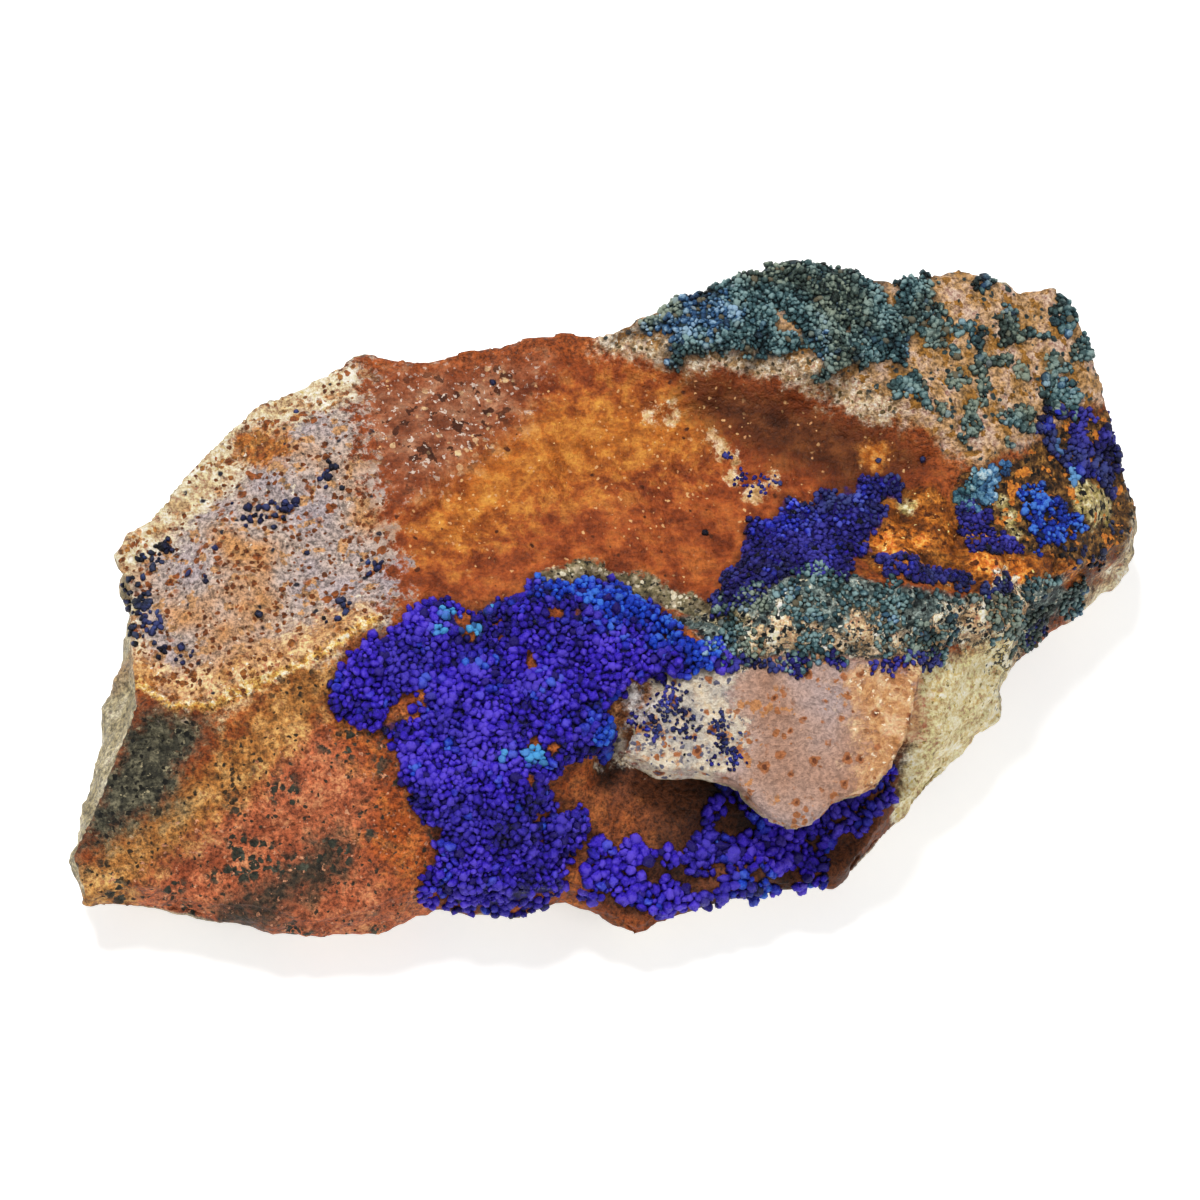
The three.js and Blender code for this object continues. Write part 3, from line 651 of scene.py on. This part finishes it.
def broken_relief(places, steep, under):
    """The height in mm of the rock's own relief, with ridges and scoops where its sides are broken."""
    relief = sum(height * noise_field(places, size) for size, height in RELIEF_MM)
    relief += steep * (1 - under) * (RIDGE_HEIGHT_MM * np.abs(wave(places, "ridges")) - RIDGE_DROP_MM)
    scoops = SCOOP_DEPTH_MM * steep * (1 - under)
    broken = np.flatnonzero(scoops > 0)
    relief[broken] -= scoops[broken] * lumps(places[broken], SCOOP_SIZE_MM)
    return relief


def make_rock():
    """The broken slab: the CAD solid remeshed finely, eased and given its broken relief."""
    rock = add_object("chert_slab", welded_copy("matrix_rock"))
    remesh = rock.modifiers.new("remesh", "REMESH")
    remesh.mode = "VOXEL"
    remesh.voxel_size = VOXEL
    ease = rock.modifiers.new("ease", "SMOOTH")
    ease.factor = EASING
    ease.iterations = EASINGS
    mesh = applied(rock)
    places, normals = read_vertices(mesh)
    steep = ramp(normals[:, 2], *STEEP)
    under = ramp(normals[:, 2], *UNDERNEATH)
    upper = ramp(normals[:, 2], *UPPER)
    depths = {zone["name"]: zone_depth_mm(places, zone) for zone in ZONES}
    grounds = {slot: closed_crust_depth(places, slot) for slot in CRUST_GROUND_SHADE_TONES}
    relief = broken_relief(places, steep, under)
    for ground in grounds.values():
        relief += upper * CRUST_RISE_MM * ramp(ground, -CRUST_FOOT_MM, CRUST_SHOULDER_MM)
    lumpy = np.zeros(len(places))
    for where, size_mm, height_mm in LUMPS:
        depth = (depths | grounds)[where]
        near = np.flatnonzero(depth > 0)
        fading = ramp(depth[near], 0, CRUST_SHOULDER_MM)
        rise = upper[near] * fading * height_mm * lumps(places[near], size_mm)
        relief[near] += rise
        if where in depths:
            lumpy[near] += rise
    moved = places + normals * (relief * MM)[:, None]
    write_vertices(mesh, np.clip(moved, *np.array(CAD_BOX)))
    smooth_shade(mesh)
    store(mesh, "steep", steep)
    store(mesh, "under", under)
    store(mesh, "front", -normals[:, 1])
    store(mesh, "bare", spot_shares(places, BARE_SPOTS_PX))
    # how far the lumps rise, which the material turns into painted shade and light
    store(mesh, "lumpy", lumpy)
    store(mesh, "broad", ramp(wave(places, "broad"), -0.6, 0.6))
    store(mesh, "clusters", ramp(wave(places, "clusters"), 0.0, 0.2))
    store(mesh, "stains", SIDE_STAIN_SHARE * ramp(wave(places, "stains"), 0.0, 0.5))
    for name, depth in (depths | grounds).items():
        store(mesh, name, depth)
    return rock, depths | grounds


# Beads

BALL_CUTS = (1, 2)  # cuts in each edge of the ball, for small beads and for large ones
LARGE_BEAD = 0.6 * MM
BALL_FORMS = 16  # different balls of each kind
BALL_BUMPS = 0.4  # of the radius
BALL_STRETCH = 0.34  # of the radius, either way along each axis
JITTER = 0.22 * MM  # of a bead's place along the ground
TRIES_PER_PLACE = 3
TINT_REACH = 0.5  # how far a bead's tone differs from its neighbours'
PATCH_REACH = 0.5  # and a patch's from that of the next
AZURE_RIM_MM = 2.5  # size of the waves at the rim of an azure spot
AZURE_RIM_REACH = 0.5  # how far these, and chance, move the rim
AZURE_RIM_STEP = 0.4
LOOSE_LIFT = 0.1  # of the beads that sit by themselves, in radii
LEAST_UP = 0.25  # of the ground's normal, where beads grew
BEAD_ROOM = 1.7  # the least from a bead's foot to the side of the box, in radii


def uneven_balls(cuts):
    """Balls of radius 1 with bumps, and the triangles that they share."""
    work = bmesh.new()
    bmesh.ops.create_icosphere(work, subdivisions=1, radius=1)
    bmesh.ops.subdivide_edges(work, edges=work.edges, cuts=cuts, use_grid_fill=True)
    bmesh.ops.triangulate(work, faces=work.faces)
    ball = np.array([vertex.co.normalized() for vertex in work.verts])
    faces = np.array([[vertex.index for vertex in face.verts] for face in work.faces])
    work.free()
    forms = []
    for form in range(BALL_FORMS):
        shift = Vector((9.0 * form, 0, 0))
        bumps = np.array([noise.fractal(1.5 * Vector(p) + shift, 1, 2, 3) for p in ball])
        stretch = random.uniform(1 - BALL_STRETCH, 1 + BALL_STRETCH, 3)
        forms.append(ball * stretch * (1 + BALL_BUMPS * bumps)[:, None])
    return forms, faces


BALLS = [uneven_balls(cuts) for cuts in BALL_CUTS]


def random_turn():
    return np.array(Quaternion(random.normal(size=4)).normalized().to_matrix())


class Beads:
    """Beads gathered for one piece: where they stand, which way is up, and their radii."""

    def __init__(self, flat=1.0):
        self.flat = flat  # of a bead's height to its width
        self.bases = np.empty((0, 3))
        self.ups = np.empty((0, 3))
        self.radii = np.empty(0)
        self.lifts = np.empty(0)

    def add(self, bases, ups, radii, lift):
        self.bases = np.concatenate([self.bases, bases])
        self.ups = np.concatenate([self.ups, ups])
        self.radii = np.concatenate([self.radii, radii])
        self.lifts = np.concatenate([self.lifts, np.full(len(radii), lift)])

    def mesh(self, name):
        """One mesh of all the beads, with each bead's tint and how high each vertex is on it."""
        middles = self.bases + self.ups * (self.lifts * self.radii)[:, None]
        points = []
        faces = []
        heights = []
        owners = []
        start = 0
        for i in range(len(middles)):
            forms, triangles = BALLS[int(self.radii[i] > LARGE_BEAD)]
            ball = forms[random.integers(BALL_FORMS)] @ random_turn()
            ball = ball - np.outer((1 - self.flat) * (ball @ self.ups[i]), self.ups[i])
            points.append(middles[i] + self.radii[i] * ball)
            faces.append(triangles + start)
            heights.append(ball @ self.ups[i])
            owners.append(np.full(len(ball), i))
            start += len(ball)
        mesh = bpy.data.meshes.new(name)
        mesh.from_pydata(np.concatenate(points), [], np.concatenate(faces))
        smooth_shade(mesh)
        owner = np.concatenate(owners)
        tint = random.random(len(middles))
        store(mesh, "tint", tint[owner])
        tone = TINT_REACH * tint + PATCH_REACH * wave(middles, "patches")
        store(mesh, "tone", tone[owner])
        drift = ramp(wave(middles, "drift"), -0.1, 0.4)
        store(mesh, "drift", drift[owner])
        store(mesh, "height", np.concatenate(heights))
        azure = spot_shares(middles, AZURE_SPOTS_PX, AZURE_FADE_MM)
        azure += AZURE_RIM_REACH * noise_field(middles, AZURE_RIM_MM)
        azure -= AZURE_RIM_REACH * random.random(len(middles))
        store(mesh, "azure", ramp(azure, 0, AZURE_RIM_STEP)[owner])
        store(mesh, "sky", spot_shares(middles, SKY_SPOTS_PX)[owner])
        return mesh


def along_ground(shifts, normals):
    return shifts - normals * np.sum(shifts * normals, axis=1)[:, None]


def spread_beads(beads, places, normals, layer):
    """Adds the beads of one layer, the large before the small, none too near another."""
    depth = crust_depth(places, layer)
    open_places = np.flatnonzero((depth > 0) & (normals[:, 2] > LEAST_UP))
    if layer["bare"] > 0:
        clumps = wave(places[open_places], "bare_clumps")
        open_places = open_places[clumps > np.quantile(clumps, layer["bare"])]
    open_places = open_places[spot_shares(places[open_places], BARE_SPOTS_PX) < 0.5]
    for smallest, largest in layer["sizes"]:
        tries = random.permutation(np.repeat(open_places, TRIES_PER_PLACE))
        shifts = random.normal(scale=JITTER, size=(len(tries), 3))
        spots = places[tries] + along_ground(shifts, normals[tries])
        radii = random.uniform(smallest, largest, len(tries)) * MM
        low, high = np.array(CAD_BOX)
        room = np.minimum(spots - low, high - spots).min(axis=1)
        fits = np.flatnonzero(room > BEAD_ROOM * radii)
        tries, spots, radii = tries[fits], spots[fits], radii[fits]
        kept = np.concatenate([beads.bases, np.empty((len(tries), 3))])
        sizes = np.concatenate([beads.radii, np.empty(len(tries))])
        count = len(beads.bases)
        chosen = []
        for i in range(len(tries)):
            gaps = np.linalg.norm(kept[:count] - spots[i], axis=1)
            if np.all(gaps > layer["spacing"] * (sizes[:count] + radii[i]) / 2):
                kept[count] = spots[i]
                sizes[count] = radii[i]
                count += 1
                chosen.append(i)
        beads.add(spots[chosen], normals[tries[chosen]], radii[chosen], layer["lift"])


def add_piece(name, mesh, material):
    mesh.materials.append(material)
    piece = add_object(name, mesh)
    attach(piece, BODY)
    return piece


def make_crust(crust, places, normals, material):
    beads = Beads(crust.get("flat", 1.0))
    for layer in crust["layers"]:
        spread_beads(beads, places, normals, layer)
    piece = add_piece(crust["name"], beads.mesh(crust["name"]), material)
    if "node" in crust:
        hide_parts(crust["node"])


def make_clumps(clumps, tree, material):
    """Beads thrown around given pixels, each where its ray meets the rock's dressed surface."""
    beads = Beads()
    for u, v, spread, count in clumps["places_px"]:
        for _ in range(count):
            du, dv = random.normal(scale=spread / 2, size=2).tolist()
            hit, normal = tree.ray_cast(PHOTO_LENS, photo_ray(u + du, v + dv))[:2]
            radius = random.uniform(*clumps["radius"]) * MM
            if hit is not None:
                beads.add(np.array([hit]), np.array([normal]), np.array([radius]), LOOSE_LIFT)
    add_piece(clumps["name"], beads.mesh(clumps["name"]), material)


# Materials

def colour(code):
    """A colour from its usual screen code, as the linear values that shaders use."""
    parts = [int(code[i : i + 2], 16) / 255 for i in (1, 3, 5)]
    linear = [p / 12.92 if p <= 0.04045 else ((p + 0.055) / 1.055) ** 2.4 for p in parts]
    return (*linear, 1.0)


class Shader:
    """A material on a Principled shader, with short ways to add nodes."""

    def __init__(self, name):
        self.material = bpy.data.materials.new(name)
        self.material.use_nodes = True
        self.tree = self.material.node_tree
        self.surface = self.tree.nodes["Principled BSDF"]
        self.place = self.add("ShaderNodeTexCoord").outputs["Object"]

    def add(self, kind, **settings):
        node = self.tree.nodes.new(kind)
        for key, value in settings.items():
            setattr(node, key, value)
        return node

    def feed(self, socket, value):
        if isinstance(value, bpy.types.NodeSocket):
            self.tree.links.new(value, socket)
        else:
            socket.default_value = value

    def attribute(self, name):
        return self.add("ShaderNodeAttribute", attribute_name=name).outputs["Fac"]

    def math(self, operation, *values):
        node = self.add("ShaderNodeMath", operation=operation)
        for socket, value in zip(node.inputs, values):
            self.feed(socket, value)
        return node.outputs[0]

    def fade(self, value, low, high, bottom=0.0, top=1.0):
        node = self.add("ShaderNodeMapRange", interpolation_type="SMOOTHSTEP")
        for socket, given in zip(node.inputs, (value, low, high, bottom, top)):
            self.feed(socket, given)
        return node.outputs[0]

    def tones(self, value, codes):
        """Colours in even steps along the value, from 0 to 1."""
        steps = codes.split()
        node = self.add("ShaderNodeValToRGB")
        stops = node.color_ramp.elements
        while len(stops) < len(steps):
            stops.new(0.5)
        for i, code in enumerate(steps):
            stops[i].position = i / (len(steps) - 1)
            stops[i].color = colour(code)
        self.feed(node.inputs[0], value)
        return node.outputs[0]

    def mix(self, share, first, second, blend="MIX"):
        node = self.add("ShaderNodeMix", data_type="RGBA", blend_type=blend)
        self.feed(node.inputs[0], share)
        self.feed(node.inputs[6], first)
        self.feed(node.inputs[7], second)
        return node.outputs[2]

    def noise(self, size_mm, detail=4.0, roughness=0.55, place=None):
        node = self.add("ShaderNodeTexNoise")
        self.feed(node.inputs["Vector"], place or self.place)
        self.feed(node.inputs["Scale"], 1 / (size_mm * MM))
        self.feed(node.inputs["Detail"], detail)
        self.feed(node.inputs["Roughness"], roughness)
        return node.outputs["Fac"]

    def cells(self, size_mm, place=None):
        """Distance to the nearest of many scattered points, in sizes, and that point's own number."""
        node = self.add("ShaderNodeTexVoronoi")
        self.feed(node.inputs["Vector"], place or self.place)
        self.feed(node.inputs["Scale"], 1 / (size_mm * MM))
        parts = self.add("ShaderNodeSeparateColor")
        self.feed(parts.inputs[0], node.outputs["Color"])
        return node.outputs["Distance"], parts.outputs[0]

    def shaken(self, size_mm, reach_mm):
        """The place moved about by noise, for ragged edges."""
        node = self.add("ShaderNodeTexNoise")
        self.feed(node.inputs["Vector"], self.place)
        self.feed(node.inputs["Scale"], 1 / (size_mm * MM))
        self.feed(node.inputs["Detail"], 3.0)
        shift = self.add("ShaderNodeVectorMath", operation="MULTIPLY_ADD")
        self.feed(shift.inputs[0], node.outputs["Color"])
        self.feed(shift.inputs[1], (2 * reach_mm * MM,) * 3)
        self.feed(shift.inputs[2], self.place)
        return shift.outputs[0]

    def stretched(self, factors):
        """The place with each axis multiplied, for streaks."""
        node = self.add("ShaderNodeVectorMath", operation="MULTIPLY")
        self.feed(node.inputs[0], self.place)
        self.feed(node.inputs[1], factors)
        return node.outputs[0]

    def bump(self, height, depth_mm):
        node = self.add("ShaderNodeBump")
        self.feed(node.inputs["Height"], height)
        self.feed(node.inputs["Distance"], depth_mm * MM)
        return node.outputs["Normal"]

    def finish(self, base, roughness, normal, specular):
        self.feed(self.surface.inputs["Base Color"], base)
        self.feed(self.surface.inputs["Roughness"], roughness)
        self.feed(self.surface.inputs["Normal"], normal)
        self.feed(self.surface.inputs["Specular IOR Level"], specular)
        return self.material


SQUARE_MM = 24.0  # of the rock, that share a material
STRAY_MM = 2.4  # size of the wave that edges of zones follow
STRAY_REACH = 2.0  # the most that it moves an edge, in wanders
GRAIN_MM = 0.5  # of the rock itself
RAGGED_MM = 0.8  # size of the bends in the edges of dots
RAGGED_REACH_MM = 0.4
DOT_EDGE = (-0.02, 0.08)  # over which a dot fades in, in sizes
BLOT_EDGE = 0.03  # above a blot's limit, where it is whole
CRUST_GRAIN_MM = 0.8  # of the ground under the beads
CRUST_RIM_SHADE_MM = 1.6  # width of the painted shade at the rim of a closed crust
CRUST_RIM_SHADE = 0.6  # its strength
BARE_DEPTH_MM = 4.0  # by which a bare spot pushes the crust's ground back
GROUND_REACH_MM = 2.0  # beyond which nothing of the crust's ground shows
STREAK_MM = 1.1  # across the streaks in the hollow
STREAK_STRETCH = (0.35, 1.0, 1.0)
STREAK_SHARE = 0.4
WEAR = 0.9  # strength of the grain's dark dips and light tops
SMOOTHER = {"ledge_chert": 0.45, "rust_hollow": 0.35}  # zones with less wear than the rest, and by how much


def dress_rock(rock, depths):
    """Gives each square of the rock a material with only what reaches it, which renders sooner."""
    mesh = rock.data
    centres = np.empty(len(mesh.polygons) * 3, np.float32)
    mesh.polygons.foreach_get("center", centres)
    places = np.floor(centres.reshape(-1, 3)[:, :2] / (SQUARE_MM * MM))
    squares, numbers = np.unique(places, axis=0, return_inverse=True)
    numbers = numbers.ravel().astype(np.int32)
    face_sizes = np.empty(len(mesh.polygons), np.int32)
    mesh.polygons.foreach_get("loop_total", face_sizes)
    corners = np.empty(len(mesh.loops), np.int32)
    mesh.loops.foreach_get("vertex_index", corners)
    owners = np.repeat(numbers, face_sizes)
    for i in range(len(squares)):
        deepest = {name: depth[corners[owners == i]].max() for name, depth in depths.items()}
        zones = [z for z in ZONES if deepest[z["name"]] > -STRAY_REACH * z["wander"] - z["soft"]]
        grounds = [slot for slot in CRUST_GROUND_SHADE_TONES if deepest[slot] > -GROUND_REACH_MM]
        mesh.materials.append(rock_material(f"stained_chert_{i}", zones, grounds))
    mesh.polygons.foreach_set("material_index", numbers)


def strayed(shader, stray, name, reach):
    return shader.math("MULTIPLY_ADD", stray, reach, shader.attribute(name))


def paint_zones(shader, base, zones, mottles, stray):
    """The zones laid over the base, and the share of each."""
    shares = {}
    for zone in zones:
        depth = strayed(shader, stray, zone["name"], zone["wander"])
        share = shader.fade(depth, -zone["soft"], zone["soft"])
        base = shader.mix(share, base, shader.tones(mottles[zone["mottle"]], zone["tones"]))
        shares[zone["name"]] = share
    return base, shares


def paint_flecks(shader, base, shares):
    flecks = [(name, fleck) for name, group in FLECKS.items() if name in shares for fleck in group]
    ragged = shader.shaken(RAGGED_MM, RAGGED_REACH_MM)
    clusters = shader.attribute("clusters")
    dot_sizes = sorted({fleck["dots_mm"] for _, fleck in flecks if "dots_mm" in fleck})
    blot_sizes = sorted({fleck["blots_mm"] for _, fleck in flecks if "blots_mm" in fleck})
    dot_fields = {size: shader.cells(size, ragged) for size in dot_sizes}
    blot_fields = {size: shader.noise(size, 3.0) for size in blot_sizes}
    for name, fleck in flecks:
        if "dots_mm" in fleck:
            distance, number = dot_fields[fleck["dots_mm"]]
            inside = shader.math("SUBTRACT", shader.math("MULTIPLY", number, fleck["reach"]), distance)
            found = shader.fade(inside, *DOT_EDGE)
        else:
            limit = fleck["above"]
            found = shader.fade(blot_fields[fleck["blots_mm"]], limit, limit + BLOT_EDGE)
        share = shader.math("MULTIPLY", found, shares[name])
        if fleck["clusters"]:
            share = shader.math("MULTIPLY", share, clusters)
        base = shader.mix(share, base, colour(fleck["tone"]))
    return base


def paint_crust_grounds_and_shade(shader, base, grounds, stray):
    """Painted shade: the dark rims on the rock beside the closed crusts, and the dark ground under their
    beads, darkest in the gaps between its grains.
    """
    # the grains of the ground: its own dark tone, with painted shade in the gaps between them
    grains = shader.math("SUBTRACT", 1.0, shader.cells(CRUST_GRAIN_MM)[0])
    bare = shader.attribute("bare")
    for slot in grounds:
        closed = shader.math("MULTIPLY_ADD", bare, -BARE_DEPTH_MM, shader.attribute(slot))
        # painted shade: the rock darkened beside each closed crust
        rim = shader.fade(closed, -CRUST_RIM_SHADE_MM, 0.0, 0.0, CRUST_RIM_SHADE)
        base = shader.mix(rim, base, colour(CRUST_RIM_SHADE_TONE))
        share = shader.fade(shader.math("MULTIPLY_ADD", stray, 0.3, closed), -0.3, 0.3)
        base = shader.mix(share, base, shader.tones(grains, CRUST_GROUND_SHADE_TONES[slot]))
    return base


def paint_sides(shader, base, mottles, stray):
    """The pale broken sides, apart from the stained front, and the underside."""
    steep = shader.fade(strayed(shader, stray, "steep", 0.2), 0.35, 0.75)
    front = shader.fade(strayed(shader, stray, "front", 0.2), 0.2, 0.5)
    side = shader.tones(mottles["mid"], SIDE_PALE_TONES)
    side = shader.mix(shader.attribute("stains"), side, shader.tones(mottles["fine"], SIDE_STAIN_TONES))
    base = shader.mix(steep, base, shader.mix(front, side, base))
    under = shader.fade(strayed(shader, stray, "under", 0.1), 0.3, 0.7)
    return shader.mix(under, base, shader.tones(mottles["broad"], UNDERSIDE_TONES))


def paint_lump_shade_and_grain(shader, base, grain, shares):
    """Painted shade in the dips and painted light on the tops of the lumps, and the grain's darker and
    lighter spots, which are streaked in the hollow.
    """
    # painted shade and light: the lumps darker where they dip and lighter where they rise
    lumpy = shader.fade(shader.attribute("lumpy"), -0.7, 0.7, 0.2, 0.8)
    base = shader.mix(1.0, base, lumpy, "OVERLAY")
    streaks = shader.noise(STREAK_MM, 3.0, 0.7, shader.stretched(STREAK_STRETCH))
    streaked = shader.math("MULTIPLY", shares.get("rust_hollow", 0.0), STREAK_SHARE)
    wear = shader.math("MULTIPLY_ADD", shader.math("SUBTRACT", streaks, grain), streaked, grain)
    worn = WEAR
    for name, less in SMOOTHER.items():
        worn = shader.math("MULTIPLY_ADD", shares.get(name, 0.0), -less, worn)
    return shader.mix(worn, base, shader.fade(wear, 0.32, 0.68, 0.12, 0.8), "OVERLAY")


def rock_material(name, zones, grounds):
    """Stained chert, with the zones and the grounds of crusts that reach one square of the rock."""
    shader = Shader(name)
    mottles = {
        mottle: shader.fade(shader.noise(size, 4.0, 0.65), 0.3, 0.7)
        for mottle, size in MOTTLE_SIZES_MM.items()
    }
    mottles["broad"] = shader.attribute("broad")
    stray = shader.noise(STRAY_MM, 6.0, 0.75)
    stray = shader.math("MULTIPLY_ADD", stray, 2 * STRAY_REACH, -STRAY_REACH)
    grain = shader.noise(GRAIN_MM, 3.0, 0.75)
    base = shader.tones(mottles["mid"], GROUND_TONES)
    base, shares = paint_zones(shader, base, zones, mottles, stray)
    base = paint_flecks(shader, base, shares)
    base = paint_crust_grounds_and_shade(shader, base, grounds, stray)
    base = paint_sides(shader, base, mottles, stray)
    base = paint_lump_shade_and_grain(shader, base, grain, shares)
    roughness = shader.fade(grain, 0.35, 0.65, 0.35, 0.7)
    return shader.finish(base, roughness, shader.bump(shader.noise(1.0, 4.0, 0.7), 0.72), 0.2)


# Each palette has tones from the painted shade of the gaps to the painted light of the tops, the tones that
# the crust drifts to in places, those at its azure spots where they differ, the tone of its sky-blue beads,
# and that of the odd bead.
PALETTES = {
    "azurite": {
        "tones": "#090422 #200f86 #381dc2 #6048dc", "drift": "#070418 #190f62 #2c1ca0 #4c3cc0",
        "azure": "#060a30 #0c2698 #1742c8 #3e78e2", "sky": "#52a8e4", "odd": "#22146c",
    },
    "navy_azurite": {
        "tones": "#080620 #161150 #252078 #423ea6", "drift": "#060714 #101034 #1c2054 #3c4680",
        "azure": "#0a0a38 #1a22a4 #2834d0 #6878ec", "sky": "#6ca4d8", "odd": "#0c0c1c",
    },
    "azure_azurite": {
        "tones": "#050820 #0c1c70 #1638b4 #4a84e0", "drift": "#060a1c #101c50 #1c3484 #4870b4",
        "sky": "#8cc4ec", "odd": "#0a0f30",
    },
    "sky_azurite": {
        "tones": "#0e2040 #2c5c90 #74a8cc #dceef4", "drift": "#0e1e2c #2c5460 #6c9aa0 #d8e8e0",
        "sky": "#dceef4", "odd": "#16243c",
    },
    "bluegreen_druse": {
        "tones": "#081012 #22393f #426368 #88a6a6", "drift": "#0c100c #28342f #4c5c54 #94a08e",
        "azure": "#0c1628 #243f64 #3a648c #9cbcd4", "sky": "#a8bcb4", "odd": "#6c6450",
    },
    "night_azurite": {
        "tones": "#0a0a14 #161630 #242850 #3c4478", "drift": "#08080e #121420 #1e2438 #38405c",
        "azure": "#0a0c20 #182458 #243a80 #5070b0", "sky": "#4a64a0", "odd": "#08080c",
    },
}
ODD_SHARE = 0.06


def bead_material(name, palette):
    """Grown beads: each has its own tone, with painted shade towards its foot and painted light towards its
    top.
    """
    shader = Shader(name)
    tint = shader.attribute("tint")
    grain = shader.noise(0.7, 4.0, 0.75)
    # painted shade and light: darker towards each bead's foot, lighter towards its top, with its grain and
    # its own tone added
    shade = shader.math("MULTIPLY_ADD", shader.attribute("height"), 0.5, -0.8)
    shade = shader.math("MULTIPLY_ADD", grain, 1.7, shade)
    shade = shader.math("ADD", shade, shader.attribute("tone"))
    base = shader.tones(shade, palette["tones"])
    base = shader.mix(shader.attribute("drift"), base, shader.tones(shade, palette["drift"]))
    azure = shader.tones(shade, palette.get("azure", palette["tones"]))
    base = shader.mix(shader.attribute("azure"), base, azure)
    lit = shader.fade(shade, 0.0, 0.7)
    sky = shader.fade(shader.math("MULTIPLY_ADD", tint, 0.7, shader.attribute("sky")), 0.9, 1.3)
    base = shader.mix(sky, base, colour(palette["sky"]))
    odd = shader.fade(tint, 1 - ODD_SHARE, 1 - ODD_SHARE / 2)
    base = shader.mix(shader.math("MULTIPLY", odd, lit), base, colour(palette["odd"]))
    normal = shader.bump(shader.noise(0.35, 4.0, 0.75), 0.3)
    return shader.finish(base, shader.fade(grain, 0.35, 0.65, 0.22, 0.5), normal, 0.25)


# The object

rock, DEPTHS = make_rock()
dress_rock(rock, DEPTHS)
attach(rock, BODY)
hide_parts("matrix_rock")

MATERIALS = {name: bead_material(name, palette) for name, palette in PALETTES.items()}
ROCK_PLACES, ROCK_NORMALS = read_vertices(rock.data)
for crust in CRUSTS:
    make_crust(crust, ROCK_PLACES, ROCK_NORMALS, MATERIALS[crust["palette"]])
ROCK_TREE = search_tree(rock.data)
for clumps in CLUMPS:
    make_clumps(clumps, ROCK_TREE, MATERIALS[clumps["palette"]])


# Floor, light and camera

FLOOR_SIZE = 6.0
FLOOR_DROP = 0.05 * MM
FLOOR_TONE = "#f8f8f7"
FLOOR_GLOW = 0.45
WORLD_STRENGTH = 0.36
LIGHTS = {  # place, size and watts
    "key": ((-0.25, 0.35, 0.8), 0.22, 6.8),
    "fill": ((0.4, -0.55, 0.7), 0.6, 2.4),
}
VIEW_TARGET = Vector((-0.0027, 0.0008, 0.012))
VIEW_LENS = 145
VIEW_SENSOR = 36


def make_floor():
    mesh = bpy.data.meshes.new("floor")
    half = FLOOR_SIZE / 2
    corners = [(-half, -half, -FLOOR_DROP), (half, -half, -FLOOR_DROP)]
    corners += [(half, half, -FLOOR_DROP), (-half, half, -FLOOR_DROP)]
    mesh.from_pydata(corners, [], [(0, 1, 2, 3)])
    material = bpy.data.materials.new("floor")
    material.use_nodes = True
    sockets = material.node_tree.nodes["Principled BSDF"].inputs
    sockets["Base Color"].default_value = colour(FLOOR_TONE)
    sockets["Roughness"].default_value = 0.8
    sockets["Specular IOR Level"].default_value = 0.2
    sockets["Emission Color"].default_value = (1.0, 1.0, 1.0, 1.0)
    sockets["Emission Strength"].default_value = FLOOR_GLOW
    mesh.materials.append(material)
    add_object("floor", mesh)


def aim(thing, target):
    thing.rotation_mode = "QUATERNION"
    thing.rotation_quaternion = (target - thing.location).to_track_quat("-Z", "Y")


def make_light(name, place, size, watts):
    lamp = bpy.data.lights.new(name, "AREA")
    lamp.shape = "DISK"
    lamp.size = size
    lamp.energy = watts
    light = bpy.data.objects.new(name, lamp)
    light.location = place
    bpy.context.scene.collection.objects.link(light)
    aim(light, Vector((0, 0, 0)))


def make_world():
    world = bpy.data.worlds.new("studio")
    world.use_nodes = True
    background = world.node_tree.nodes["Background"]
    background.inputs["Color"].default_value = (1.0, 1.0, 1.0, 1.0)
    background.inputs["Strength"].default_value = WORLD_STRENGTH
    bpy.context.scene.world = world


def make_camera():
    """The photograph's camera, turned to the specimen with its horizon kept and a longer lens."""
    data = bpy.data.cameras.new("camera")
    data.lens = VIEW_LENS
    data.sensor_width = VIEW_SENSOR
    data.clip_start = 0.01
    camera = bpy.data.objects.new("camera", data)
    bpy.context.scene.collection.objects.link(camera)
    back = (PHOTO_LENS - VIEW_TARGET).normalized()
    right = (PHOTO_RIGHT - PHOTO_RIGHT.dot(back) * back).normalized()
    turn = Matrix((right, back.cross(right), back)).transposed().to_4x4()
    camera.matrix_world = Matrix.Translation(PHOTO_LENS) @ turn
    bpy.context.scene.camera = camera


make_floor()
make_world()
for light_name, (light_place, light_size, light_watts) in LIGHTS.items():
    make_light(light_name, Vector(light_place), light_size, light_watts)
make_camera()
bpy.context.scene.view_settings.view_transform = "Standard"
